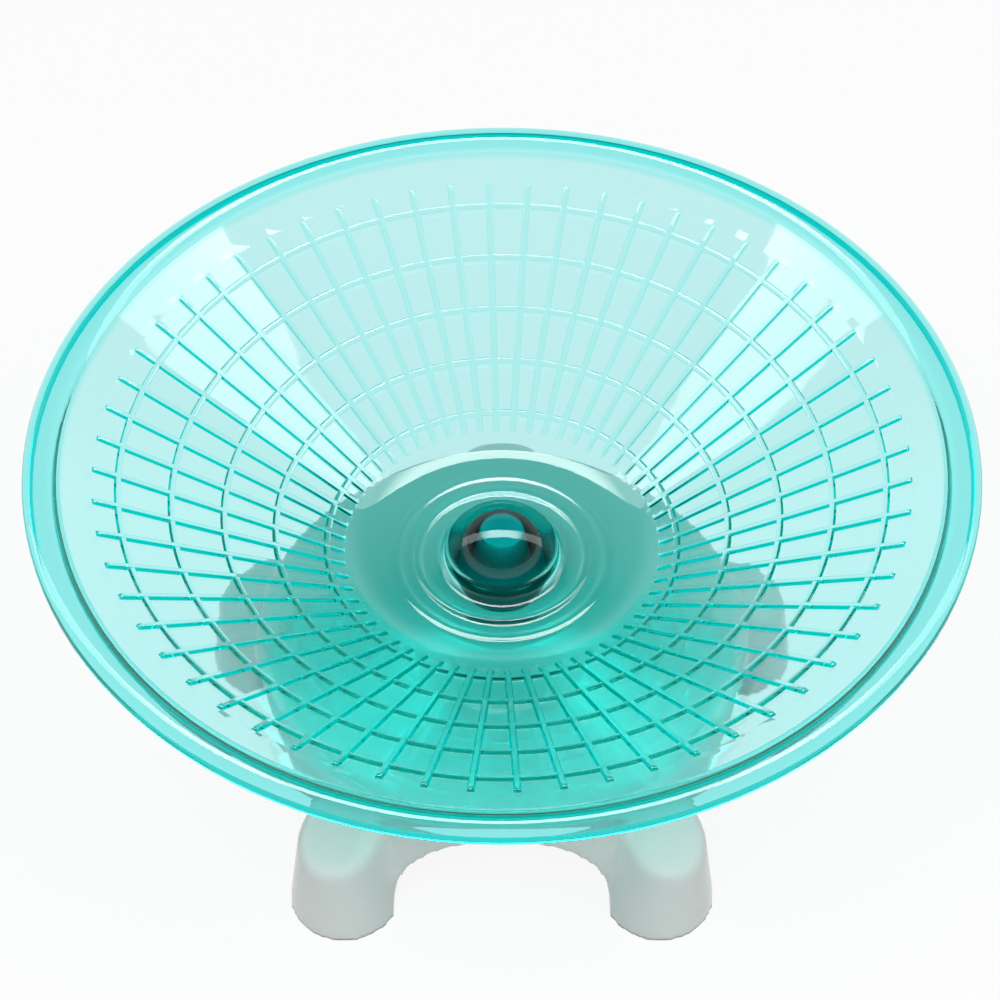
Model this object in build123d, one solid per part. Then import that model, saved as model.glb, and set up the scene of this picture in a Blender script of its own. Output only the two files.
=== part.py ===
# Flying saucer running wheel for small pets: a ribbed dish that spins freely on a five-legged stand.
# Millimetres, +Z up. The origin is on the floor under the middle of the dish, and the front is -Y.
import os
from math import asin, cos, radians, sin, tan

from build123d import *

# Overall
dish_radius = 90.0           # outer edge of the rim
rim_height = 86.5            # floor to the lower edge of the rim
stand_height = 40.5          # floor to the flat top of the stand

# Dish
dish_wall = 1.8
cone_slope = 29.0            # degrees above the horizontal
cone_outer_radius = 83.0     # where the running cone meets the rim
cone_rim_drop = 0.7          # cone edge below the rim's lower edge
trough_depth = 32.0          # rim edge down to the flat round the hub
trough_blend = 14.0          # bend between the cone and that flat
rim_step = 0.9               # upstand between the cone and the rim
rim_step_run = 0.3           # how far that upstand leans outwards
rim_root = 0.6               # the wall under the rim starts this far past the cone
rim_crown = 1.4              # top of the rim above its lower edge
rim_edge_thickness = 1.2
rim_edge_drop = 0.2          # outer corner below the rim's height
hub_top_radius = 11.0
hub_rise = 2.8               # hub seat above the flat
hub_blend = 2.6              # bend at the foot of the hub
trough_ring_radius = 16.6    # middle of a low ring on the flat
trough_ring_width = 2.2
trough_ring_height = 0.4
trough_ring_side = 0.3       # run of its sloping sides

# Grip ribs on the cone
ring_rib_count = 5
ring_rib_radius = 72.8       # middle of the outermost ring
ring_rib_spacing = 9.64
ring_rib_width = 1.3
ring_rib_top = 0.8           # width of its flat top
ring_rib_height = 0.7
spoke_rib_count = 60
spoke_rib_width = 1.2
spoke_rib_height = 0.8
spoke_rib_inner_radius = 30.8
spoke_rib_outer_radius = 77.4
spoke_rib_phase = 2.0        # degrees from +X to the first rib
rib_root = 0.5               # how deep a rib's root is let into the wall

# Hub plug
plug_head_radius = 10.5
plug_head_edge = 1.5         # upright edge under the dome
plug_dome_height = 5.7
plug_stem_radius = 5.7
plug_crown_wall = 3.6        # plastic over the bush
plug_stand_gap = 1.0         # between the turning stem and the stand

# Pivot
pin_radius = 2.0
pin_tip_blend = 1.2
pin_running_clearance = 0.06
pin_tip_clearance = 0.05
pin_socket_depth = 26.0
bush_radius = 3.9
bush_end_wall = 1.4
bush_mouth_recess = 0.4      # bush mouth above the stem's lower end

# Stand
leg_count = 5
leg_radius = 53.5            # axis to the centre of a foot
foot_radius = 11.0
leg_draft = 7.0              # degrees, a leg narrows upwards
leg_shoulder_height = 18.5   # where the back of a leg meets its outer end
leg_back_slope = 35.0        # degrees below the horizontal
leg_shoulder_blend = 3.5     # rounding of that corner
leg_root = 0.8               # a leg's back starts this far under the roof
stand_wall = 2.2
stand_top_radius = 13.0
stand_edge_radius = 50.5     # outer edge of the roof between the legs
stand_edge_drop = 10.8       # that edge below the flat top
stand_edge_blend = 4.0
skirt_draft = 1.5            # degrees, the skirt widens downwards
arch_half_width = 21.5
arch_height = 28.0
boss_radius = 5.6
boss_floor = 2.0             # plastic under the pin
gusset_thickness = 1.8
gusset_reach = 17.0          # beyond the boss
gusset_depth = 10.0          # below the roof at the boss
gusset_tip_depth = 1.0       # below the roof at its outer end

# Heights and places that follow
slope = radians(cone_slope)
trough_height = rim_height - trough_depth
cone_edge_height = rim_height - cone_rim_drop
hub_seat_height = trough_height + hub_rise
plug_top_height = hub_seat_height + plug_head_edge + plug_dome_height
bush_top_height = plug_top_height - plug_crown_wall
stem_bottom_height = stand_height + plug_stand_gap
bush_bottom_height = stem_bottom_height + bush_mouth_recess
pin_top_height = bush_top_height - bush_end_wall - pin_tip_clearance
pin_bottom_height = stand_height - pin_socket_depth
leg_end_radius = leg_radius + foot_radius - leg_shoulder_height * tan(radians(leg_draft))
roof_fall = stand_edge_drop / (stand_edge_radius - stand_top_radius)
front_arch_angle = -90.0
leg_pitch = 360.0 / leg_count


def cone_height(radius):
    # Height of the cone's upper face at a radius
    return cone_edge_height - (cone_outer_radius - radius) * tan(slope)


def on_cone(radius, lift=0.0):
    # Point of the profile at a radius, lifted square to the cone's upper face
    return (radius - lift * sin(slope), cone_height(radius) + lift * cos(slope))


def turned(edges):
    # Solid of revolution about Z from a closed profile of radius and height
    return revolve(Plane.XZ * make_face(edges), Axis.Z)


def trough_bend(depth):
    # Arc from the flat to the cone, the given depth under the upper face, from the flat outwards
    corner = cone_outer_radius - (cone_edge_height - trough_height) / tan(slope)
    centre = (corner - trough_blend * tan(slope / 2), trough_height + trough_blend)
    reach = trough_blend + depth

    def point(angle):
        return (centre[0] + reach * sin(angle), centre[1] - reach * cos(angle))

    return point(0.0), point(slope / 2), point(slope)


def ring_rib_profile():
    # Raised flat-topped ribs along the cone, from the innermost ring outwards
    points = []
    half = ring_rib_width / 2 * cos(slope)
    half_top = ring_rib_top / 2 * cos(slope)
    for ring in reversed(range(ring_rib_count)):
        middle = ring_rib_radius - ring * ring_rib_spacing
        points.append(on_cone(middle - half))
        points.append(on_cone(middle - half_top, ring_rib_height))
        points.append(on_cone(middle + half_top, ring_rib_height))
        points.append(on_cone(middle + half))
    return points


def dish_shell():
    # Rim, cone, trough and hub as one turned wall with the ring ribs on it
    flat_in, bend_in, cone_in = trough_bend(0.0)
    flat_under, bend_under, cone_under = trough_bend(dish_wall)
    rim_start = (cone_outer_radius + rim_step_run, cone_edge_height + rim_step)
    rim_middle = (rim_start[0] + dish_radius) / 2
    rim_top = rim_height + rim_crown
    edge_top = rim_height - rim_edge_drop
    edge_bottom = edge_top - rim_edge_thickness
    ring_inner = trough_ring_radius - trough_ring_width / 2
    ring_outer = trough_ring_radius + trough_ring_width / 2
    hub_foot = hub_top_radius + hub_blend
    hub_bend = (hub_foot - hub_blend * cos(radians(45)), trough_height + hub_blend * (1 - cos(radians(45))))
    rim_under = (dish_radius - dish_wall, edge_bottom)
    bore_foot = (plug_stem_radius, trough_height - dish_wall)
    cone_end = on_cone(cone_outer_radius + rim_root, -dish_wall)
    upper = [
        Line((plug_stem_radius, hub_seat_height), (hub_top_radius, hub_seat_height)),
        Line((hub_top_radius, hub_seat_height), (hub_top_radius, trough_height + hub_blend)),
        ThreePointArc((hub_top_radius, trough_height + hub_blend), hub_bend, (hub_foot, trough_height)),
        Polyline(
            (hub_foot, trough_height),
            (ring_inner, trough_height),
            (ring_inner + trough_ring_side, trough_height + trough_ring_height),
            (ring_outer - trough_ring_side, trough_height + trough_ring_height),
            (ring_outer, trough_height),
            flat_in,
        ),
        ThreePointArc(flat_in, bend_in, cone_in),
        Polyline(cone_in, *ring_rib_profile(), on_cone(cone_outer_radius), rim_start),
        ThreePointArc(rim_start, (rim_middle, rim_top), (dish_radius, edge_top)),
    ]
    lower = [
        Polyline((dish_radius, edge_top), (dish_radius, edge_bottom), rim_under),
        ThreePointArc(rim_under, (rim_middle, rim_top - dish_wall), cone_end),
        Line(cone_end, cone_under),
        ThreePointArc(cone_under, bend_under, flat_under),
        Polyline(flat_under, bore_foot, (plug_stem_radius, hub_seat_height)),
    ]
    return turned(upper + lower)


def spoke_rib():
    # One bar lying up the cone along +X
    length = (spoke_rib_outer_radius - spoke_rib_inner_radius) / cos(slope)
    middle = (spoke_rib_inner_radius + spoke_rib_outer_radius) / 2
    bar = extrude(Rectangle(length, spoke_rib_width), spoke_rib_height + rib_root)
    up_cone = (cos(slope), 0, sin(slope))
    off_cone = (-sin(slope), 0, cos(slope))
    seat = Plane(origin=(middle, 0, cone_height(middle)), x_dir=up_cone, z_dir=off_cone)
    return seat * Pos(0, 0, -rib_root) * bar


def running_dish():
    ribs = [
        Rot(0, 0, spoke_rib_phase + turn * 360.0 / spoke_rib_count) * spoke_rib()
        for turn in range(spoke_rib_count)
    ]
    return dish_shell().fuse(*ribs)


def hub_plug():
    # Domed head on a hollow stem, closed at the top
    head_base = hub_seat_height + plug_head_edge
    ball = (plug_head_radius**2 + plug_dome_height**2) / (2 * plug_dome_height)
    half = asin(plug_head_radius / ball) / 2
    dome_middle = (ball * sin(half), plug_top_height - ball * (1 - cos(half)))
    return turned([
        Line((0, bush_top_height), (0, plug_top_height)),
        ThreePointArc((0, plug_top_height), dome_middle, (plug_head_radius, head_base)),
        Polyline(
            (plug_head_radius, head_base),
            (plug_head_radius, hub_seat_height),
            (plug_stem_radius, hub_seat_height),
            (plug_stem_radius, stem_bottom_height),
            (bush_radius, stem_bottom_height),
            (bush_radius, bush_top_height),
            (0, bush_top_height),
        ),
    ])


def pivot_bush():
    # Plain sleeve with a closed end that rests on the pin's tip
    bore = pin_radius + pin_running_clearance
    bore_top = bush_top_height - bush_end_wall
    return turned([
        Polyline(
            (0, bore_top),
            (0, bush_top_height),
            (bush_radius, bush_top_height),
            (bush_radius, bush_bottom_height),
            (bore, bush_bottom_height),
            (bore, bore_top),
            (0, bore_top),
        )
    ])


def pivot_pin():
    # Straight rod with a rounded tip
    rod = Pos(0, 0, pin_bottom_height) * extrude(Circle(pin_radius), pin_top_height - pin_bottom_height)
    tip = rod.edges().sort_by(Axis.Z)[-1]
    return fillet(tip, pin_tip_blend)


def roof_height(radius, inset=0.0):
    # Height of the sloping roof's face, the given depth under the outer face
    return stand_height - inset - max(0.0, radius - stand_top_radius) * roof_fall


def stand_bell(inset):
    # Low roof with a skirt down to the floor, the given depth inside the outer faces
    edge = stand_edge_radius - inset
    edge_height = roof_height(stand_edge_radius, inset)
    floor_edge = edge + edge_height * tan(radians(skirt_draft))
    half = make_face(
        Polyline(
            (0, 0),
            (floor_edge, 0),
            (edge, edge_height),
            (stand_top_radius, stand_height - inset),
            (0, stand_height - inset),
            (0, 0),
        )
    )
    corner = half.vertices().sort_by_distance((edge, edge_height))[0]
    half = fillet(corner, stand_edge_blend - inset / 2)
    return revolve(Plane.XZ * half, Axis.Z)


def stand_leg(inset):
    # One leg along +X: a tapered column with a sloping back, the given depth inside the outer faces
    radius = foot_radius - inset
    plan = Pos(leg_radius, 0) * Circle(radius) + Pos(leg_radius / 2, 0) * Rectangle(leg_radius, 2 * radius)
    column = extrude(plan, stand_height, taper=leg_draft)
    end = leg_end_radius - inset
    back_fall = tan(radians(leg_back_slope))
    shoulder = leg_shoulder_height - inset
    past_end = foot_radius / 2
    top = stand_height - inset - leg_root
    meet = (shoulder + end * back_fall - top - stand_top_radius * roof_fall) / (back_fall - roof_fall)
    side = make_face(
        Polyline(
            (0, 0),
            (end + past_end, 0),
            (end + past_end, shoulder - past_end * back_fall),
            (meet, shoulder + (end - meet) * back_fall),
            (stand_top_radius, top),
            (0, top),
            (0, 0),
        )
    )
    wedge = extrude(Plane.XZ * side, leg_radius, both=True)
    leg = column & wedge
    shoulder_edge = leg.edges().filter_by(GeomType.ELLIPSE).sort_by(Axis.X)[-1]
    return fillet(shoulder_edge, leg_shoulder_blend - inset / 2)


def leg_angles():
    return [front_arch_angle + leg_pitch * (leg + 0.5) for leg in range(leg_count)]


def arch_angles():
    return [front_arch_angle + leg_pitch * arch for arch in range(leg_count)]


def stand_form(inset):
    leg = stand_leg(inset)
    return stand_bell(inset).fuse(*[Rot(0, 0, angle) * leg for angle in leg_angles()])


def arch_cutter():
    # Half-elliptical opening along +X, from inside the skirt out past the feet
    opening = Ellipse(arch_half_width, arch_height)
    start = stand_edge_radius - foot_radius - stand_wall
    return Pos(start, 0, 0) * extrude(Plane.YZ * opening, leg_radius)


def boss_and_gussets():
    # Socket for the pin, with a gusset towards each leg
    boss_bottom = pin_bottom_height - boss_floor
    roof_inside = stand_height - stand_wall
    boss = Pos(0, 0, boss_bottom) * extrude(Circle(boss_radius), stand_height - stand_wall / 2 - boss_bottom)
    tip = boss_radius + gusset_reach
    plate = make_face(
        Polyline(
            (0, roof_inside - gusset_depth),
            (boss_radius, roof_inside - gusset_depth),
            (tip, roof_height(tip, stand_wall) - gusset_tip_depth),
            (tip, roof_height(tip, stand_wall) + stand_wall / 2),
            (stand_top_radius, roof_inside + stand_wall / 2),
            (0, roof_inside + stand_wall / 2),
            (0, roof_inside - gusset_depth),
        )
    )
    gusset = extrude(Plane.XZ * plate, gusset_thickness / 2, both=True)
    return [boss] + [Rot(0, 0, angle) * gusset for angle in leg_angles()]


def stand():
    opening = arch_cutter()
    shell = stand_form(0.0) - stand_form(stand_wall)
    shell = shell.cut(*[Rot(0, 0, angle) * opening for angle in arch_angles()])
    shell = shell.fuse(*boss_and_gussets())
    socket = Pos(0, 0, pin_bottom_height) * extrude(Circle(pin_radius), 2 * pin_socket_depth)
    return shell.cut(socket)


os.makedirs("parts", exist_ok=True)
for name, piece in {
    "running_dish": running_dish(),
    "hub_plug": hub_plug(),
    "pivot_bush": pivot_bush(),
    "pivot_pin": pivot_pin(),
    "stand": stand(),
}.items():
    export_step(piece, f"parts/{name}.step")
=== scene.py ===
import math

import bmesh
import bpy
import numpy as np
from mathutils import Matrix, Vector


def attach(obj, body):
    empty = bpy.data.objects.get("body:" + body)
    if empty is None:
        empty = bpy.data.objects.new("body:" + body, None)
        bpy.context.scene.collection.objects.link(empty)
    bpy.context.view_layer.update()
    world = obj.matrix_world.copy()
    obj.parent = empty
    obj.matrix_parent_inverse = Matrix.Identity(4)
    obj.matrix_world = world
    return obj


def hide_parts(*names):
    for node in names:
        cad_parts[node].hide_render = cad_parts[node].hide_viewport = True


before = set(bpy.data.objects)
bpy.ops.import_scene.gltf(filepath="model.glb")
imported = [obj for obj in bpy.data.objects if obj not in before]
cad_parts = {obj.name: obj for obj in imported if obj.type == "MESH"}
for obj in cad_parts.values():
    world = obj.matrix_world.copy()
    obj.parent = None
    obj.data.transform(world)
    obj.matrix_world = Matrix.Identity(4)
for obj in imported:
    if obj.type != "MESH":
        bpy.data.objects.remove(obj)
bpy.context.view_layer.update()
mm = 0.001


# Small helpers

def linked(obj):
    bpy.context.scene.collection.objects.link(obj)
    return obj


def arcPoints(centre, radius, startDeg, endDeg, steps):
    # Points on an arc in radius and height, both ends included
    turns = [math.radians(startDeg + (endDeg - startDeg) * i / steps) for i in range(steps + 1)]
    return [(centre[0] + radius * math.cos(t), centre[1] + radius * math.sin(t)) for t in turns]


def threePointArc(start, middle, end, steps):
    # Circle through three points of a profile, sampled from start to end
    (ax, ay), (bx, by), (cx, cy) = start, middle, end
    d = 2 * (ax * (by - cy) + bx * (cy - ay) + cx * (ay - by))
    sa, sb, sc = ax * ax + ay * ay, bx * bx + by * by, cx * cx + cy * cy
    ux = (sa * (by - cy) + sb * (cy - ay) + sc * (ay - by)) / d
    uy = (sa * (cx - bx) + sb * (ax - cx) + sc * (bx - ax)) / d
    first = math.degrees(math.atan2(ay - uy, ax - ux))
    last = math.degrees(math.atan2(cy - uy, cx - ux))
    via = math.degrees(math.atan2(by - uy, bx - ux))
    if first > last:
        turn = -((first - last) % 360) if (first - via) % 360 < (first - last) % 360 else (last - first) % 360
    else:
        turn = (last - first) % 360 if (via - first) % 360 < (last - first) % 360 else -((first - last) % 360)
    return arcPoints((ux, uy), math.hypot(ax - ux, ay - uy), first, first + turn, steps)


def rounded(points, blends, steps=4):
    # A closed profile whose corners are turned into small arcs
    out = []
    count = len(points)
    for i, corner in enumerate(points):
        blend = blends.get(i, 0)
        if not blend:
            out.append(corner)
            continue
        here = Vector(corner)
        before = (Vector(points[i - 1]) - here).normalized()
        after = (Vector(points[(i + 1) % count]) - here).normalized()
        half = before.angle(after) / 2
        reach = blend / math.tan(half)
        start, end = here + before * reach, here + after * reach
        centre = here + (before + after).normalized() * (blend / math.sin(half))
        for step in range(steps + 1):
            way = (start.lerp(end, step / steps) - centre).normalized()
            spot = centre + way * blend
            out.append((spot.x, spot.y))
    return out


def turnedPiece(name, profile, steps):
    # Closed solid of revolution from a profile whose points run anticlockwise in radius and height
    mesh = bmesh.new()
    rings = []
    for radius, height in profile:
        if radius < 1e-6:
            rings.append([mesh.verts.new((0, 0, height * mm))])
            continue
        rings.append([
            mesh.verts.new((
                radius * mm * math.cos(2 * math.pi * i / steps),
                radius * mm * math.sin(2 * math.pi * i / steps),
                height * mm,
            ))
            for i in range(steps)
        ])
    for a, b in zip(rings, rings[1:] + rings[:1]):
        for i in range(steps):
            j = (i + 1) % steps
            if len(a) == 1 and len(b) == 1:
                break
            if len(a) == 1:
                mesh.faces.new((a[0], b[i], b[j]))
            elif len(b) == 1:
                mesh.faces.new((a[i], b[0], a[j]))
            else:
                mesh.faces.new((a[i], b[i], b[j], a[j]))
    bmesh.ops.recalc_face_normals(mesh, faces=mesh.faces)
    for face in mesh.faces:
        face.smooth = True
    data = bpy.data.meshes.new(name)
    mesh.to_mesh(data)
    mesh.free()
    return linked(bpy.data.objects.new(name, data))


def creased(obj, degrees):
    # Marks the sharp edges, so that smooth shading stops there
    mesh = bmesh.new()
    mesh.from_mesh(obj.data)
    for edge in mesh.edges:
        edge.smooth = len(edge.link_faces) == 2 and edge.calc_face_angle() < math.radians(degrees)
    mesh.to_mesh(obj.data)
    mesh.free()


# Materials

def wire(tree, source, target):
    tree.links.new(source, target)


def newNode(tree, kind, **settings):
    node = tree.nodes.new(kind)
    for key, value in settings.items():
        setattr(node, key, value)
    return node


def mathNode(tree, operation, *values, **settings):
    # A math node whose inputs are numbers or other nodes' outputs
    node = newNode(tree, "ShaderNodeMath", operation=operation, **settings)
    for socket, value in zip(node.inputs, values):
        if isinstance(value, (int, float)):
            socket.default_value = value
        else:
            wire(tree, value, socket)
    return node.outputs[0]


def mixedColour(tree, share, first, second):
    # Mixes two colours, each a plain colour or another node's output
    node = newNode(tree, "ShaderNodeMix", data_type="RGBA")
    wire(tree, share, node.inputs[0])
    for socket, colour in ((node.inputs[6], first), (node.inputs[7], second)):
        if isinstance(colour, tuple):
            socket.default_value = colour
        else:
            wire(tree, colour, socket)
    return node.outputs[2]


def mixedShader(tree, share, first, second):
    node = newNode(tree, "ShaderNodeMixShader")
    for socket, source in zip(node.inputs, (share, first, second)):
        wire(tree, source, socket)
    return node.outputs[0]


def mapped(tree, value, fromMin, fromMax, toMin=0.0, toMax=1.0, **settings):
    # Carries a value from one range to another, and stops at its ends
    node = newNode(tree, "ShaderNodeMapRange", **settings)
    numbers = {"From Min": fromMin, "From Max": fromMax, "To Min": toMin, "To Max": toMax}
    for socket, number in numbers.items():
        node.inputs[socket].default_value = number
    wire(tree, value, node.inputs["Value"])
    return node.outputs["Result"]


def mouldedGroup():
    # Faint flow marks, fine grain and scattered scuffs of a moulded plastic
    group = bpy.data.node_groups.new("mouldedSurface", "ShaderNodeTree")
    sockets = group.interface
    for name, kind, value in (
        ("Flow Scale", "NodeSocketFloat", 60.0),
        ("Flow Depth", "NodeSocketFloat", 0.02),
        ("Grain Scale", "NodeSocketFloat", 1500.0),
        ("Grain Depth", "NodeSocketFloat", 0.01),
        ("Smoothest", "NodeSocketFloat", 0.03),
        ("Roughest", "NodeSocketFloat", 0.09),
    ):
        sockets.new_socket(name=name, in_out="INPUT", socket_type=kind).default_value = value
    sockets.new_socket(name="Roughness", in_out="OUTPUT", socket_type="NodeSocketFloat")
    sockets.new_socket(name="Normal", in_out="OUTPUT", socket_type="NodeSocketVector")
    sockets.new_socket(name="Cloud", in_out="OUTPUT", socket_type="NodeSocketFloat")
    given = newNode(group, "NodeGroupInput")
    result = newNode(group, "NodeGroupOutput")
    place = newNode(group, "ShaderNodeTexCoord")
    flow = newNode(group, "ShaderNodeTexNoise")
    flow.inputs["Detail"].default_value = 3.0
    grain = newNode(group, "ShaderNodeTexNoise")
    grain.inputs["Detail"].default_value = 2.0
    scuff = newNode(group, "ShaderNodeTexNoise")
    scuff.inputs["Scale"].default_value = 240.0
    scuff.inputs["Detail"].default_value = 5.0
    scuff.inputs["Roughness"].default_value = 0.7
    for noise in (flow, grain, scuff):
        wire(group, place.outputs["Object"], noise.inputs["Vector"])
    wire(group, given.outputs["Flow Scale"], flow.inputs["Scale"])
    wire(group, given.outputs["Grain Scale"], grain.inputs["Scale"])
    flowBump = newNode(group, "ShaderNodeBump")
    flowBump.inputs["Distance"].default_value = 0.001
    grainBump = newNode(group, "ShaderNodeBump")
    grainBump.inputs["Distance"].default_value = 0.0002
    wire(group, flow.outputs["Fac"], flowBump.inputs["Height"])
    wire(group, given.outputs["Flow Depth"], flowBump.inputs["Strength"])
    wire(group, grain.outputs["Fac"], grainBump.inputs["Height"])
    wire(group, given.outputs["Grain Depth"], grainBump.inputs["Strength"])
    wire(group, flowBump.outputs["Normal"], grainBump.inputs["Normal"])
    wire(group, grainBump.outputs["Normal"], result.inputs["Normal"])
    spread = newNode(group, "ShaderNodeMapRange")
    spread.inputs["From Min"].default_value = 0.4
    spread.inputs["From Max"].default_value = 0.7
    wire(group, scuff.outputs["Fac"], spread.inputs["Value"])
    wire(group, given.outputs["Smoothest"], spread.inputs["To Min"])
    wire(group, given.outputs["Roughest"], spread.inputs["To Max"])
    wire(group, spread.outputs["Result"], result.inputs["Roughness"])
    wire(group, flow.outputs["Fac"], result.inputs["Cloud"])
    return group


def startMaterial(name):
    material = bpy.data.materials.new(name)
    material.use_nodes = True
    tree = material.node_tree
    tree.nodes.clear()
    return material, tree, newNode(tree, "ShaderNodeOutputMaterial")


def placeMoulded(tree, shader, group, look):
    surface = newNode(tree, "ShaderNodeGroup", node_tree=group)
    for socket, value in look["surface"].items():
        surface.inputs[socket].default_value = value
    wire(tree, surface.outputs["Roughness"], shader.inputs["Roughness"])
    wire(tree, surface.outputs["Normal"], shader.inputs["Normal"])
    return surface


def zoneTint(tree, look):
    # Colour that changes from one zone of the piece to the next: by radius, the dish rim's deeper teal; by
    # height, the painted shade that darkens the plug's stem
    place = newNode(tree, "ShaderNodeTexCoord")
    flatten = newNode(tree, "ShaderNodeVectorMath", operation="MULTIPLY")
    flatten.inputs[1].default_value = look["zoneAcross"]
    reach = newNode(tree, "ShaderNodeVectorMath", operation="LENGTH")
    wire(tree, place.outputs["Object"], flatten.inputs[0])
    wire(tree, flatten.outputs[0], reach.inputs[0])
    mask = mapped(
        tree, reach.outputs["Value"], look["zoneFrom"], look["zoneFull"], interpolation_type="SMOOTHSTEP")
    return mixedColour(tree, mask, look["tint"], look["zoneTint"])


def clearMaterial(name, look, group):
    # Clear coloured plastic: the colour deepens with thickness, and its shadow is coloured light
    material, tree, output = startMaterial(name)
    shader = newNode(tree, "ShaderNodeBsdfPrincipled")
    shader.inputs["Base Color"].default_value = look["tint"]
    shader.inputs["Transmission Weight"].default_value = 1.0
    shader.inputs["IOR"].default_value = look["ior"]
    shader.inputs["Specular IOR Level"].default_value = look["shine"]
    shader.inputs["Specular Tint"].default_value = look["shineTint"]
    placeMoulded(tree, shader, group, look)
    path = newNode(tree, "ShaderNodeLightPath").outputs
    # a ray that is bent on its way through also counts as glossy, so those are taken off again
    reflected = mathNode(tree, "SUBTRACT", path["Is Glossy Ray"], path["Is Transmission Ray"], use_clamp=True)
    # painted reflection: a reflected ray sees the piece in its deeper teal mirrored colour, not its own
    colour = mixedColour(tree, reflected, zoneTint(tree, look), look["mirrored"])
    wire(tree, colour, shader.inputs["Base Color"])
    through = newNode(tree, "ShaderNodeBsdfTransparent")
    through.inputs["Color"].default_value = look["shadow"]
    lighting = mathNode(tree, "MAXIMUM", path["Is Shadow Ray"], path["Is Diffuse Ray"])
    # a ray caught inside the wall is let out again as coloured light, so no edge turns black
    caught = mathNode(tree, "GREATER_THAN", path["Ray Depth"], look["caughtAfter"])
    straight = mathNode(tree, "MAXIMUM", lighting, caught)
    surface = mixedShader(tree, straight, shader.outputs["BSDF"], through.outputs["BSDF"])
    wire(tree, surface, output.inputs["Surface"])
    body = newNode(tree, "ShaderNodeVolumeAbsorption")
    body.inputs["Color"].default_value = look["depthColor"]
    body.inputs["Density"].default_value = look["depth"]
    wire(tree, body.outputs["Volume"], output.inputs["Volume"])
    return material


def milkyMaterial(name, look, group):
    # Frosted white plastic with light inside it
    material, tree, output = startMaterial(name)
    shader = newNode(tree, "ShaderNodeBsdfPrincipled")
    surface = placeMoulded(tree, shader, group, look)
    colour = mixedColour(tree, surface.outputs["Cloud"], look["shade"], look["tint"])
    wire(tree, colour, shader.inputs["Base Color"])
    shader.inputs["IOR"].default_value = look["ior"]
    shader.inputs["Subsurface Weight"].default_value = look["inside"]
    shader.inputs["Subsurface Radius"].default_value = look["insideReach"]
    shader.inputs["Subsurface Scale"].default_value = look["insideScale"]
    shader.inputs["Coat Weight"].default_value = look["coat"]
    shader.inputs["Coat Roughness"].default_value = look["coatRoughness"]
    wire(tree, shader.outputs["BSDF"], output.inputs["Surface"])
    return material


def steelMaterial(name, look):
    # Ground steel with fine rings round its axis
    material, tree, output = startMaterial(name)
    shader = newNode(tree, "ShaderNodeBsdfPrincipled")
    shader.inputs["Metallic"].default_value = 1.0
    shader.inputs["Base Color"].default_value = look["tint"]
    place = newNode(tree, "ShaderNodeTexCoord")
    stretch = newNode(tree, "ShaderNodeMapping")
    stretch.inputs["Scale"].default_value = look["stretch"]
    rings = newNode(tree, "ShaderNodeTexNoise")
    rings.inputs["Scale"].default_value = look["ringScale"]
    wire(tree, place.outputs["Object"], stretch.inputs["Vector"])
    wire(tree, stretch.outputs["Vector"], rings.inputs["Vector"])
    roughness = mapped(tree, rings.outputs["Fac"], 0.0, 1.0, look["smoothest"], look["roughest"])
    wire(tree, roughness, shader.inputs["Roughness"])
    bump = newNode(tree, "ShaderNodeBump")
    bump.inputs["Strength"].default_value = look["ringDepth"]
    bump.inputs["Distance"].default_value = 0.0001
    wire(tree, rings.outputs["Fac"], bump.inputs["Height"])
    wire(tree, bump.outputs["Normal"], shader.inputs["Normal"])
    wire(tree, shader.outputs["BSDF"], output.inputs["Surface"])
    return material


clearTeal = {
    "tint": (1.0, 1.0, 1.0, 1.0),
    "ior": 1.49,
    "zoneAcross": (1.0, 1.0, 0.0),   # the rolled rim, by radius
    "zoneFrom": 0.0828,
    "zoneFull": 0.0838,
    "zoneTint": (0.55, 0.95, 0.94, 1.0),
    # painted reflection colour: the dish as it shows in reflections
    "mirrored": (0.0, 0.55, 0.53, 1.0),
    "caughtAfter": 2.5,
    "shine": 0.2,
    "shineTint": (1.0, 1.0, 1.0, 1.0),
    "shadow": (0.0, 0.80, 0.75, 1.0),
    "depthColor": (0.0, 0.92, 0.91, 1.0),
    "depth": 290.0,                  # per metre
    "surface": {"Flow Scale": 45.0, "Flow Depth": 0.04, "Grain Scale": 2500.0, "Grain Depth": 0.0,
                "Smoothest": 0.02, "Roughest": 0.05},
}
thickTeal = {
    # painted shade: the stem's dark teal stands for the shade in the hollow under the dish, and the head above
    # is left clear
    "tint": (0.0, 0.12, 0.12, 1.0),
    "ior": 1.49,
    "zoneAcross": (0.0, 0.0, 1.0),   # stem below in painted shade, head above
    "zoneFrom": 0.0568,
    "zoneFull": 0.0575,
    "zoneTint": (1.0, 1.0, 1.0, 1.0),
    # painted reflection colour: the plug as it shows in reflections
    "mirrored": (0.0, 0.3, 0.3, 1.0),
    "caughtAfter": 3.5,
    "shine": 0.9,
    "shineTint": (0.85, 1.0, 0.98, 1.0),
    "shadow": (0.0, 0.9, 0.88, 1.0),
    "depthColor": (0.0, 0.66, 0.67, 1.0),
    "depth": 380.0,
    "surface": {"Flow Scale": 120.0, "Flow Depth": 0.02, "Grain Scale": 2500.0, "Grain Depth": 0.0,
                "Smoothest": 0.01, "Roughest": 0.03},
}
milkyWhite = {
    "tint": (0.88, 0.915, 0.90, 1.0),
    "shade": (0.85, 0.895, 0.875, 1.0),
    "ior": 1.49,
    "inside": 0.3,
    "insideReach": (1.0, 1.0, 1.0),
    "insideScale": 0.001,
    "coat": 0.3,
    "coatRoughness": 0.12,
    "surface": {"Flow Scale": 35.0, "Flow Depth": 0.02, "Grain Scale": 1800.0, "Grain Depth": 0.02,
                "Smoothest": 0.2, "Roughest": 0.28},
}
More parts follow.
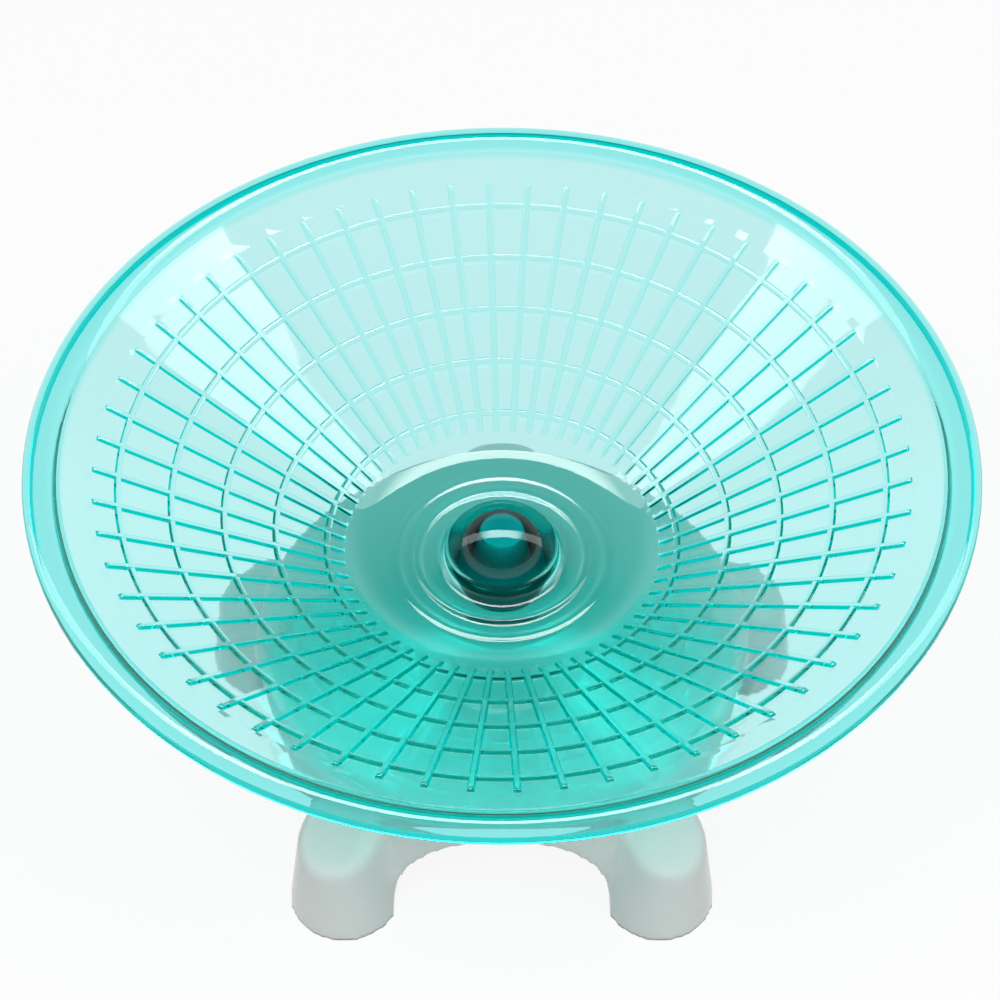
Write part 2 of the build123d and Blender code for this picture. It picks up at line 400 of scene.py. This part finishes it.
whiteNylon = {
    "tint": (0.93, 0.94, 0.92, 1.0),
    "shade": (0.86, 0.88, 0.85, 1.0),
    "ior": 1.53,
    "inside": 0.3,
    "insideReach": (1.0, 1.0, 1.0),
    "insideScale": 0.002,
    "coat": 0.0,
    "coatRoughness": 0.2,
    "surface": {"Flow Scale": 200.0, "Flow Depth": 0.02, "Grain Scale": 4000.0, "Grain Depth": 0.08,
                "Smoothest": 0.3, "Roughest": 0.42},
}
groundSteel = {
    "tint": (0.72, 0.72, 0.74, 1.0),
    "stretch": (0.15, 0.15, 12.0),
    "ringScale": 500.0,
    "ringDepth": 0.15,
    "smoothest": 0.14,
    "roughest": 0.3,
}

moulded = mouldedGroup()
dishMaterial = clearMaterial("clearTealPlastic", clearTeal, moulded)
plugMaterial = clearMaterial("thickTealPlastic", thickTeal, moulded)
standMaterial = milkyMaterial("milkyWhitePlastic", milkyWhite, moulded)
bushMaterial = milkyMaterial("whiteNylon", whiteNylon, moulded)
pinMaterial = steelMaterial("groundSteel", groundSteel)
print("materials made")


# Running dish: one turned wall whose upper face carries the ring and spoke ribs

dish = {
    "rimRadius": 90.0,
    "rimHeight": 86.5,
    "rimCrown": 1.4,
    "rimEdge": 1.2,
    "rimEdgeDrop": 0.2,
    "wall": 1.8,
    "slopeDeg": 29.0,
    "coneRadius": 83.0,
    "coneDrop": 0.7,
    "step": 0.6,
    "stepRun": 0.3,
    "rimRoot": 0.6,
    "troughDepth": 32.0,
    "troughBend": 14.0,
    "hubRadius": 11.0,
    "hubRise": 2.8,
    "hubBend": 2.6,
    "boreRadius": 5.75,
    "troughRings": [(16.6, 2.2, 0.4), (20.7, 2.4, 0.25)],   # radius, width, height
    "ringCount": 5,
    "ringRadius": 72.8,
    "ringSpacing": 9.64,
    "ringWidth": 1.3,
    "ringHeight": 0.6,
    "spokeCount": 60,
    "spokeWidth": 1.2,
    "spokeHeight": 0.7,
    "spokeInner": 30.8,
    "spokeOuter": 77.4,
    "spokePhaseDeg": 2.0,
    "spokeEndLines": (0.0, 0.06, 0.2, 0.42, 0.75),   # mesh lines over a spoke's round end
    "linesPerCell": 4,                                # mesh lines between two rings
    "edgeLines": [79.2, 81.0, 82.2],                  # and beyond the outer ring
    "linesBetween": 1,                                # and between two spokes
    "creaseDeg": 35.0,
}
# across in half widths, height as a share of the rib's
ribSection = [
    (-1.2, 0.0), (-1.1, 0.12), (-0.82, 0.9), (-0.66, 1.0), (0.66, 1.0), (0.82, 0.9), (1.1, 0.12), (1.2, 0.0),
]
ringSection = [
    (-1.1, 0.0), (-1.0, 0.12), (-0.72, 0.9), (-0.5, 1.0), (0.5, 1.0), (0.72, 0.9), (1.0, 0.12), (1.1, 0.0),
]


def coneHeight(radius):
    drop = (dish["coneRadius"] - radius) * math.tan(math.radians(dish["slopeDeg"]))
    return dish["rimHeight"] - dish["coneDrop"] - drop


def ringRadii():
    return [dish["ringRadius"] - ring * dish["ringSpacing"] for ring in range(dish["ringCount"])]


def ringLift(radius):
    # Height of the ring ribs over the cone
    half = dish["ringWidth"] / 2
    across, shares = zip(*ringSection[len(ringSection) // 2:])
    for middle in ringRadii():
        reach = abs(radius - middle) / math.cos(math.radians(dish["slopeDeg"]))
        share = float(np.interp(reach / half, across, shares))
        if share > 0:
            return share * dish["ringHeight"]
    return 0.0


def coneRadii():
    # Radii of the mesh lines on the cone: close together over each ring and at the spokes' ends
    slope = math.radians(dish["slopeDeg"])
    rings = ringRadii()
    radii = []
    for middle in rings:
        radii += [middle + p[0] * dish["ringWidth"] / 2 * math.cos(slope) for p in ringSection]
    radii += [dish["spokeInner"] + inward for inward in dish["spokeEndLines"]]
    radii += [dish["spokeOuter"] - inward for inward in dish["spokeEndLines"]]
    for inner, outer in zip(rings[1:], rings):
        radii += list(np.linspace(inner, outer, dish["linesPerCell"] + 2)[1:-1])
    return sorted(radii + dish["edgeLines"])


def spokeGrip(radius):
    # 1 along the spokes, rounded off to 0 at both ends
    reach = min(radius - dish["spokeInner"], dish["spokeOuter"] - radius)
    if reach < -1e-6:
        return 0.0
    share = min(max(reach, 0.0) / dish["spokeEndLines"][-1], 1.0)
    return math.sqrt(1 - (1 - share) ** 2)


def dishProfile():
    # Closed profile as (radius, height, ring lift, spoke grip), up the inside first and back underneath
    d = dish
    slope = math.radians(d["slopeDeg"])
    flat = d["rimHeight"] - d["troughDepth"]
    seat = flat + d["hubRise"]
    rows = [(d["boreRadius"], seat - 0.12), (d["boreRadius"] + 0.12, seat), (8.5, seat), (10.35, seat)]
    rows += [(10.62, seat - 0.05), (10.85, seat - 0.2), (d["hubRadius"], seat - 0.48)]
    rows += arcPoints((d["hubRadius"] + d["hubBend"], flat + d["hubBend"]), d["hubBend"], 190, 270, 7)
    bump = [(-1.0, 0.0), (-0.75, 0.3), (-0.4, 0.85), (0.0, 1.0), (0.4, 0.85), (0.75, 0.3), (1.0, 0.0)]
    for ring, width, lifted in d["troughRings"]:
        rows += [(ring + width / 2 * across, flat + lifted * lift) for across, lift in bump]
    corner = d["coneRadius"] - (d["rimHeight"] - d["coneDrop"] - flat) / math.tan(slope)
    bendX = corner - d["troughBend"] * math.tan(slope / 2)
    rows += arcPoints((bendX, flat + d["troughBend"]), d["troughBend"], -90, -90 + d["slopeDeg"], 8)
    profile = [(r, z, 0.0, 0.0) for r, z in rows]
    profile += [(r, coneHeight(r), ringLift(r), spokeGrip(r)) for r in coneRadii()]
    coneEdge = d["rimHeight"] - d["coneDrop"]
    rimStart = (d["coneRadius"] + d["stepRun"], coneEdge + d["step"])
    rimMiddle = ((rimStart[0] + d["rimRadius"]) / 2, d["rimHeight"] + d["rimCrown"])
    edgeTop = d["rimHeight"] - d["rimEdgeDrop"]
    edgeFoot = edgeTop - d["rimEdge"]
    crown = threePointArc(rimStart, rimMiddle, (d["rimRadius"], edgeTop), 12)
    underStart = (d["rimRadius"] - d["wall"], edgeFoot)
    root = d["coneRadius"] + d["rimRoot"]
    coneEnd = (root + d["wall"] * math.sin(slope), coneHeight(root) - d["wall"] * math.cos(slope))
    under = threePointArc(underStart, (rimMiddle[0], rimMiddle[1] - d["wall"]), coneEnd, 8)
    rim = [(d["coneRadius"], coneEdge), (d["coneRadius"] + 0.12, coneEdge + 0.35)]
    rim += crown[:-1]
    outer = d["rimRadius"]
    rim += [(outer - 0.22, edgeTop + 0.12), (outer - 0.05, edgeTop - 0.1), (outer, edgeTop - 0.35)]
    rim += [(outer, edgeFoot + 0.35), (outer - 0.1, edgeFoot + 0.1), (outer - 0.35, edgeFoot)]
    rim += under
    reach = d["troughBend"] + d["wall"]
    coneUnder = (bendX + reach * math.sin(slope), flat + d["troughBend"] - reach * math.cos(slope))
    # the first mesh line sits close to the corner, so its shading doesn't spread over the wall
    start, run = np.array(coneEnd), np.array(coneUnder) - np.array(coneEnd)
    rim += [tuple(start + run * share) for share in (0.004, 0.15, 0.32, 0.5, 0.68, 0.85)]
    rim += arcPoints((bendX, flat + d["troughBend"]), reach, -90 + d["slopeDeg"], -90, 8)
    foot = flat - d["wall"]
    rim += [(17.0, foot), (11.0, foot), (7.0, foot)]
    rim += [(d["boreRadius"] + 0.12, foot), (d["boreRadius"], foot + 0.12)]
    return profile + [(r, z, 0.0, 0.0) for r, z in rim]


def rowObject(name, points):
    # A hidden helper: bare points that a Geometry Nodes tree reads by index
    data = bpy.data.meshes.new(name)
    data.from_pydata([p[:3] for p in points], [], [])
    return linked(bpy.data.objects.new(name, data))


def dishTree():
    # Turns the profile round Z and lifts the spoke ribs out of its cone
    tree = bpy.data.node_groups.new("ribbedDish", "GeometryNodeTree")
    sockets = tree.interface
    sockets.new_socket(name="Geometry", in_out="INPUT", socket_type="NodeSocketGeometry")
    wanted = (
        ("Profile", "NodeSocketObject"), ("Lifts", "NodeSocketObject"), ("Rib Section", "NodeSocketObject"),
        ("Profile Points", "NodeSocketInt"), ("Lines Per Spoke", "NodeSocketInt"), ("Spokes", "NodeSocketInt"),
        ("Spoke Width", "NodeSocketFloat"), ("Spoke Height", "NodeSocketFloat"),
        ("Narrowest Radius", "NodeSocketFloat"), ("First Spoke", "NodeSocketFloat"),
        ("Slope", "NodeSocketFloat"), ("Material", "NodeSocketMaterial"),
    )
    for name, kind in wanted:
        sockets.new_socket(name=name, in_out="INPUT", socket_type=kind)
    sockets.new_socket(name="Geometry", in_out="OUTPUT", socket_type="NodeSocketGeometry")
    given = newNode(tree, "NodeGroupInput").outputs
    result = newNode(tree, "NodeGroupOutput")

    def calc(operation, *values):
        return mathNode(tree, operation, *values)

    def rowOf(source, index):
        info = newNode(tree, "GeometryNodeObjectInfo")
        wire(tree, source, info.inputs["Object"])
        sample = newNode(tree, "GeometryNodeSampleIndex", data_type="FLOAT_VECTOR")
        wire(tree, info.outputs["Geometry"], sample.inputs["Geometry"])
        spot = newNode(tree, "GeometryNodeInputPosition")
        wire(tree, spot.outputs[0], sample.inputs["Value"])
        wire(tree, index, sample.inputs["Index"])
        split = newNode(tree, "ShaderNodeSeparateXYZ")
        wire(tree, sample.outputs[0], split.inputs[0])
        return split.outputs

    grid = newNode(tree, "GeometryNodeMeshGrid")
    rowsPerLine = calc("ADD", given["Profile Points"], 1)
    lines = calc("ADD", calc("MULTIPLY", given["Lines Per Spoke"], given["Spokes"]), 1)
    wire(tree, lines, grid.inputs["Vertices X"])
    wire(tree, rowsPerLine, grid.inputs["Vertices Y"])
    index = newNode(tree, "GeometryNodeInputIndex").outputs[0]
    line = calc("FLOOR", calc("DIVIDE", calc("ADD", index, 0.5), rowsPerLine))
    row = calc("SUBTRACT", index, calc("MULTIPLY", line, rowsPerLine))
    rowHere = calc("MODULO", row, given["Profile Points"])
    spoke = calc("FLOOR", calc("DIVIDE", calc("ADD", line, 0.5), given["Lines Per Spoke"]))
    lineHere = calc("SUBTRACT", line, calc("MULTIPLY", spoke, given["Lines Per Spoke"]))

    spot = rowOf(given["Profile"], rowHere)        # radius, -, height
    lift = rowOf(given["Lifts"], rowHere)          # ring lift, spoke grip, -
    section = rowOf(given["Rib Section"], lineHere)  # across, height, share of the gap

    halfWidth = calc("DIVIDE", given["Spoke Width"], 2)
    across = calc("DIVIDE", halfWidth, calc("MAXIMUM", spot[0], given["Narrowest Radius"]))
    pitch = calc("DIVIDE", 2 * math.pi, given["Spokes"])
    gap = calc("SUBTRACT", pitch, calc("MULTIPLY", across, 2 * ribSection[-1][0]))
    angle = calc("ADD", calc("MULTIPLY", spoke, pitch), given["First Spoke"])
    angle = calc("ADD", angle, calc("MULTIPLY", section[0], across))
    angle = calc("ADD", angle, calc("MULTIPLY", section[2], gap))
    spokeLift = calc("MULTIPLY", calc("MULTIPLY", given["Spoke Height"], section[1]), lift[1])
    raised = calc("MAXIMUM", spokeLift, lift[0])
    radius = calc("SUBTRACT", spot[0], calc("MULTIPLY", raised, calc("SINE", given["Slope"])))
    height = calc("ADD", spot[2], calc("MULTIPLY", raised, calc("COSINE", given["Slope"])))
    place = newNode(tree, "ShaderNodeCombineXYZ")
    wire(tree, calc("MULTIPLY", radius, calc("COSINE", angle)), place.inputs[0])
    wire(tree, calc("MULTIPLY", radius, calc("SINE", angle)), place.inputs[1])
    wire(tree, height, place.inputs[2])
    move = newNode(tree, "GeometryNodeSetPosition")
    wire(tree, grid.outputs["Mesh"], move.inputs["Geometry"])
    wire(tree, place.outputs[0], move.inputs["Position"])
    close = newNode(tree, "GeometryNodeMergeByDistance")
    close.inputs["Distance"].default_value = 2e-6
    smooth = newNode(tree, "GeometryNodeSetShadeSmooth")
    realize = newNode(tree, "GeometryNodeRealizeInstances")
    paint = newNode(tree, "GeometryNodeSetMaterial")
    wire(tree, move.outputs[0], close.inputs[0])
    wire(tree, close.outputs[0], smooth.inputs[0])
    wire(tree, smooth.outputs[0], realize.inputs[0])
    wire(tree, realize.outputs[0], paint.inputs["Geometry"])
    wire(tree, given["Material"], paint.inputs["Material"])
    wire(tree, paint.outputs[0], result.inputs[0])
    return tree


def grown(name, tree, inputs):
    # Runs a tree once with its named inputs set, and keeps the result as a plain mesh
    host = linked(bpy.data.objects.new(name + "Host", bpy.data.meshes.new(name + "Host")))
    modifier = host.modifiers.new("grow", "NODES")
    modifier.node_group = tree
    for item in tree.interface.items_tree:
        if item.in_out == "INPUT" and item.name in inputs:
            modifier[item.identifier] = inputs[item.name]
    depsgraph = bpy.context.evaluated_depsgraph_get()
    mesh = bpy.data.meshes.new_from_object(host.evaluated_get(depsgraph))
    host.modifiers.clear()
    bpy.data.objects.remove(host)
    mesh.name = name
    return linked(bpy.data.objects.new(name, mesh))


def outward(obj):
    mesh = bmesh.new()
    mesh.from_mesh(obj.data)
    bmesh.ops.recalc_face_normals(mesh, faces=mesh.faces)
    mesh.to_mesh(obj.data)
    mesh.free()


def buildDish():
    profile = dishProfile()
    between = dish["linesBetween"]
    last = ribSection[-1][0]
    lines = [(p[0], p[1], 0.0) for p in ribSection]
    lines += [(last, 0.0, (i + 1) / (between + 1)) for i in range(between)]
    helpers = [
        rowObject("profileRow", [(r * mm, 0.0, z * mm) for r, z, ring, grip in profile]),
        rowObject("liftRow", [(ring * mm, grip, 0.0) for r, z, ring, grip in profile]),
        rowObject("sectionRow", lines),
    ]
    piece = grown("clearDish", dishTree(), {
        "Profile": helpers[0], "Lifts": helpers[1], "Rib Section": helpers[2],
        "Profile Points": len(profile), "Lines Per Spoke": len(lines), "Spokes": dish["spokeCount"],
        "Spoke Width": dish["spokeWidth"] * mm, "Spoke Height": dish["spokeHeight"] * mm,
        "Narrowest Radius": (dish["spokeInner"] - 1.0) * mm,
        "First Spoke": math.radians(dish["spokePhaseDeg"]), "Slope": math.radians(dish["slopeDeg"]),
        "Material": dishMaterial,
    })
    for helper in helpers:
        bpy.data.objects.remove(helper)
    outward(piece)
    creased(piece, dish["creaseDeg"])
    return piece


clearDish = buildDish()
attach(clearDish, "saucer")
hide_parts("running_dish")
print("dish made:", len(clearDish.data.polygons), "faces")


# Hub plug, bush and pin

plug = {
    "seat": 57.3,
    "headRadius": 10.5,
    "headFoot": 57.33,
    "headEdge": 1.5,
    "domeHeight": 5.7,
    "stemRadius": 5.7,
    "stemFoot": 41.5,
    "boreRadius": 3.88,
    "boreTop": 60.88,
    "waist": 50.0,                  # a mesh line halfway down
}
# the bush stands a hair into the plug's bore, so it shows through the dome
bush = {"radius": 3.9, "top": 60.9, "foot": 41.9, "bore": 2.06, "boreTop": 59.5}
pin = {"radius": 2.0, "top": 59.45, "foot": 14.5, "tipBlend": 1.2}


def plugProfile():
    p = plug
    base = p["seat"] + p["headEdge"]
    top = base + p["domeHeight"]
    head, headFoot, stem, foot = p["headRadius"], p["headFoot"], p["stemRadius"], p["stemFoot"]
    hole, holeTop, waist = p["boreRadius"], p["boreTop"], p["waist"]
    ball = (head ** 2 + p["domeHeight"] ** 2) / (2 * p["domeHeight"])
    edge = math.degrees(math.acos(head / ball))
    dome = arcPoints((0.0, top - ball), ball, 90, edge + 1.6, 26)
    rim = [(head - 0.06, base + 0.06), (head, base - 0.2)]
    rim += [(head, headFoot + 0.4), (head - 0.12, headFoot + 0.12), (head - 0.4, headFoot)]
    side = [(stem + 0.15, headFoot), (stem, headFoot - 0.15), (stem, waist)]
    side += [(stem, foot + 0.4), (stem - 0.12, foot + 0.12), (stem - 0.4, foot)]
    bore = [(hole + 0.2, foot), (hole, foot + 0.2), (hole, waist)]
    bore += [(hole, holeTop - 0.3), (hole - 0.3, holeTop), (0.0, holeTop)]
    return dome + rim + side + bore


domedPlug = turnedPiece("domedPlug", plugProfile(), 160)
domedPlug.data.materials.append(plugMaterial)
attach(domedPlug, "saucer")
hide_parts("hub_plug")

bushPoints = [
    (0.0, bush["boreTop"]), (0.0, bush["top"]), (bush["radius"], bush["top"]), (bush["radius"], bush["foot"]),
    (bush["bore"], bush["foot"]), (bush["bore"], bush["boreTop"]),
]
nylonBush = turnedPiece("nylonBush", rounded(bushPoints, {2: 0.5, 3: 0.3, 4: 0.3, 5: 0.4}), 96)
nylonBush.data.materials.append(bushMaterial)
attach(nylonBush, "saucer")
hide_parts("pivot_bush")

pinPoints = [(0.0, pin["foot"]), (0.0, pin["top"]), (pin["radius"], pin["top"]), (pin["radius"], pin["foot"])]
steelPin = turnedPiece("steelPin", rounded(pinPoints, {2: pin["tipBlend"], 3: 0.3}, 6), 72)
steelPin.data.materials.append(pinMaterial)
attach(steelPin, "base")
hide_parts("pivot_pin")
print("plug, bush and pin made")


# Stand: the CAD shell with its corners melted as a mould leaves them

stand = {"voxel": 0.7, "relaxSteps": 8, "relaxShare": 0.5}


def buildStand():
    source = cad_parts["stand"]
    mesh = bmesh.new()
    mesh.from_mesh(source.data)
    bmesh.ops.remove_doubles(mesh, verts=mesh.verts, dist=1e-6)
    data = bpy.data.meshes.new("standSource")
    mesh.to_mesh(data)
    mesh.free()
    host = linked(bpy.data.objects.new("standSource", data))
    remesh = host.modifiers.new("even", "REMESH")
    remesh.mode = "VOXEL"
    remesh.voxel_size = stand["voxel"] * mm
    depsgraph = bpy.context.evaluated_depsgraph_get()
    even = bpy.data.meshes.new_from_object(host.evaluated_get(depsgraph))
    bpy.data.objects.remove(host)
    mesh = bmesh.new()
    mesh.from_mesh(even)
    # the soles stay flat on the floor while the rest relaxes
    soleTop = 0.5 * stand["voxel"] * mm
    free = [v for v in mesh.verts if v.co.z > soleTop]
    for vert in mesh.verts:
        if vert.co.z < soleTop:
            vert.co.z = 0.0
    for step in range(stand["relaxSteps"]):
        bmesh.ops.smooth_vert(
            mesh, verts=free, factor=stand["relaxShare"], use_axis_x=True, use_axis_y=True, use_axis_z=True)
    for face in mesh.faces:
        face.smooth = True
    mesh.to_mesh(even)
    mesh.free()
    even.name = "milkyStand"
    return linked(bpy.data.objects.new("milkyStand", even))


milkyStand = buildStand()
milkyStand.data.materials.clear()
milkyStand.data.materials.append(standMaterial)
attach(milkyStand, "base")
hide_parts("stand")
print("stand made:", len(milkyStand.data.polygons), "faces")


# Floor, light and camera

studio = {
    "floorSize": 6.0,
    "floorTint": (0.93, 0.94, 0.94, 1.0),
    "floorBounce": (0.25, 0.26, 0.26, 1.0),
    "floorShown": 0.9,              # how much of the floor is plain white to the camera
    "shadeFrom": 0.095,             # painted round shadow of the dish: seen through the dish, the floor is white only beyond this radius
    "shadeEnd": 0.12,
    "aim": (0.0, 0.0, 0.06),
    "lightLow": 0.01,               # sky light at the horizon
    "lightHigh": 0.5,               # and high up
    "skyFull": 0.7,                 # sine of the height where the sky light is full
    "backdropTop": 0.45,            # sine of the height where the white backdrop ends in reflections
    "ceilingStart": 0.7,
    "ceiling": 0.05,
    "lamps": [
        # place in metres, size, power in watts
        {"name": "keyFront", "place": (-0.25, -0.55, 0.95), "size": (0.6, 0.5), "power": 5.0},
        {"name": "fillRight", "place": (0.7, -0.35, 0.8), "size": (0.5, 0.5), "power": 2.5},
        {"name": "fillFront", "place": (0.05, -0.95, 0.3), "size": (0.6, 0.3), "power": 0.8},
    ],
    # a bent softbox overhead that only shows as a reflection
    "arch": {"radius": 1.2, "halfTurnDeg": 74.0, "back": 0.27, "backMore": 0.10, "width": 0.28,
             "glow": 13.0, "sideGlow": 3.5, "fadeFrom": 0.40, "fadeEnd": 0.65, "steps": 24},
}
camera = {
    "place": (0.0, -0.3681, 0.4888),
    "tiltDeg": 41.37,
    "lens": 104.23,
    "shiftX": -0.0019,
}


def seenWhite(tree):
    # 1 for the rays that look at the background rather than light the object
    path = newNode(tree, "ShaderNodeLightPath").outputs
    looking = mathNode(tree, "MAXIMUM", path["Is Camera Ray"], path["Is Glossy Ray"])
    return mathNode(tree, "MAXIMUM", looking, path["Is Transmission Ray"])


def buildWorld():
    # A white backdrop under a dim ceiling for what the gloss shows, and a soft sky that lights the object
    world = bpy.data.worlds.new("studioWhite")
    bpy.context.scene.world = world
    world.use_nodes = True
    tree = world.node_tree
    tree.nodes.clear()
    output = newNode(tree, "ShaderNodeOutputWorld")
    direction = newNode(tree, "ShaderNodeTexCoord")
    split = newNode(tree, "ShaderNodeSeparateXYZ")
    wire(tree, direction.outputs["Generated"], split.inputs[0])
    height = split.outputs["Z"]
    seen = newNode(tree, "ShaderNodeBackground")
    ceiling = mapped(tree, height, studio["backdropTop"], studio["ceilingStart"], 1.0, studio["ceiling"])
    wire(tree, ceiling, seen.inputs["Color"])
    light = newNode(tree, "ShaderNodeBackground")
    sky = mapped(tree, height, 0.0, studio["skyFull"], studio["lightLow"], studio["lightHigh"])
    wire(tree, sky, light.inputs["Color"])
    surface = mixedShader(tree, seenWhite(tree), light.outputs[0], seen.outputs[0])
    wire(tree, surface, output.inputs["Surface"])


def buildFloor():
    half = studio["floorSize"] / 2
    corners = [(-half, -half, 0), (half, -half, 0), (half, half, 0), (-half, half, 0)]
    data = bpy.data.meshes.new("paleFloor")
    data.from_pydata(corners, [], [(0, 1, 2, 3)])
    floor = linked(bpy.data.objects.new("paleFloor", data))
    material, tree, output = startMaterial("paleFloor")
    path = newNode(tree, "ShaderNodeLightPath").outputs
    matte = newNode(tree, "ShaderNodeBsdfDiffuse")
    # the floor throws little light back up, so the stand keeps the colour of the light through the dish
    colour = mixedColour(tree, path["Is Diffuse Ray"], studio["floorTint"], studio["floorBounce"])
    wire(tree, colour, matte.inputs["Color"])
    glow = newNode(tree, "ShaderNodeEmission")
    glow.inputs["Color"].default_value = (1, 1, 1, 1)
    place = newNode(tree, "ShaderNodeTexCoord")
    reach = newNode(tree, "ShaderNodeVectorMath", operation="LENGTH")
    wire(tree, place.outputs["Object"], reach.inputs[0])
    # painted shadow: through the dish, the floor glows white only outside a fixed circle and keeps its lit
    # matte colour inside it, in place of the dish's shadow
    beyond = mapped(
        tree, reach.outputs["Value"], studio["shadeFrom"], studio["shadeEnd"], interpolation_type="SMOOTHSTEP")
    direct = mathNode(tree, "MAXIMUM", path["Is Camera Ray"], path["Is Glossy Ray"])
    looked = mathNode(tree, "MULTIPLY", path["Is Transmission Ray"], beyond)
    shown = mathNode(tree, "MULTIPLY", mathNode(tree, "MAXIMUM", direct, looked), studio["floorShown"])
    surface = mixedShader(tree, shown, matte.outputs[0], glow.outputs[0])
    wire(tree, surface, output.inputs["Surface"])
    data.materials.append(material)


def buildLamps():
    for lamp in studio["lamps"]:
        light = bpy.data.lights.new(lamp["name"], "AREA")
        light.shape = "RECTANGLE"
        light.size, light.size_y = lamp["size"]
        light.energy = lamp["power"]
        holder = linked(bpy.data.objects.new(lamp["name"], light))
        holder.location = lamp["place"]
        toAim = Vector(studio["aim"]) - Vector(lamp["place"])
        holder.rotation_euler = toAim.to_track_quat("-Z", "Y").to_euler()
        holder.visible_glossy = False
        holder.visible_transmission = False


def buildArch():
    arch = studio["arch"]
    points, faces = [], []
    for step in range(arch["steps"] + 1):
        share = 2 * step / arch["steps"] - 1
        turn = math.radians(arch["halfTurnDeg"]) * share
        back = arch["back"] + arch["backMore"] * share * share
        for side in (-0.5, 0.5):
            way = Vector((math.sin(turn), back + side * arch["width"], math.cos(turn)))
            points.append(tuple(Vector(studio["aim"]) + way * arch["radius"]))
        if step:
            faces.append((2 * step - 2, 2 * step - 1, 2 * step + 1, 2 * step))
    data = bpy.data.meshes.new("softboxArch")
    data.from_pydata(points, [], faces)
    band = linked(bpy.data.objects.new("softboxArch", data))
    material, tree, output = startMaterial("softboxArch")
    glow = newNode(tree, "ShaderNodeEmission")
    place = newNode(tree, "ShaderNodeTexCoord")
    split = newNode(tree, "ShaderNodeSeparateXYZ")
    wire(tree, place.outputs["Object"], split.inputs[0])
    aside = mathNode(tree, "ABSOLUTE", split.outputs["X"])
    fade = mapped(tree, aside, arch["fadeFrom"], arch["fadeEnd"], arch["glow"], arch["sideGlow"])
    wire(tree, fade, glow.inputs["Strength"])
    wire(tree, glow.outputs[0], output.inputs["Surface"])
    data.materials.append(material)
    band.visible_camera = False
    band.visible_diffuse = False
    band.visible_transmission = False
    band.visible_volume_scatter = False
    band.visible_shadow = False


def buildCamera():
    view = bpy.data.cameras.new("mainView")
    view.lens = camera["lens"]
    view.sensor_width = 36.0
    view.shift_x = camera["shiftX"]
    view.clip_end = 20.0
    holder = linked(bpy.data.objects.new("mainView", view))
    holder.location = camera["place"]
    holder.rotation_euler = (math.radians(camera["tiltDeg"]), 0.0, 0.0)
    bpy.context.scene.camera = holder


buildWorld()
buildFloor()
buildLamps()
buildArch()
buildCamera()
bpy.context.scene.view_settings.view_transform = "Standard"
print("studio made")
